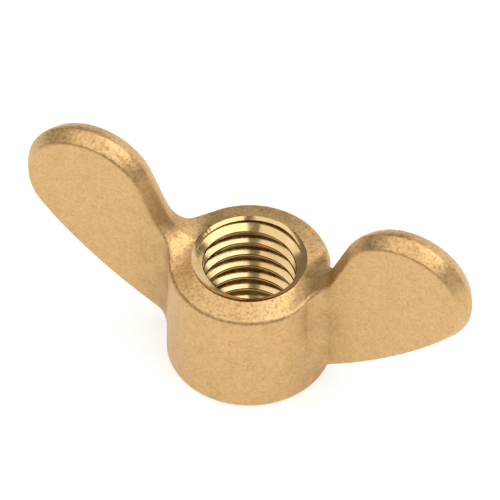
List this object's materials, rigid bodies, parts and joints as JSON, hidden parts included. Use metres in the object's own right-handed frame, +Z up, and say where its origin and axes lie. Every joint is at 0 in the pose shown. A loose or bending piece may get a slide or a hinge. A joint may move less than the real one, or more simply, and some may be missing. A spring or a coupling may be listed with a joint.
{
  "type": "wing nut",
  "caption": "Brass nut with a round, tapped hub and rounded, upright wings, tightened and loosened by hand.",
  "frame": {"origin": "centre of the hub's base, on the axis of the thread", "axes": "+Z up along the thread, away from the base that seats on the work; +X along the span of the wings; +Y through the thickness of the wings"},
  "size_m": [0.0356, 0.0122, 0.0175],
  "materials": {
    "brass": "matte and fine-grained as forged, bright in the cut thread"
  },
  "bodies": {
    "root": {"hub": "brass", "wing_left": "brass", "wing_right": "brass"}
  },
  "joints": []
}
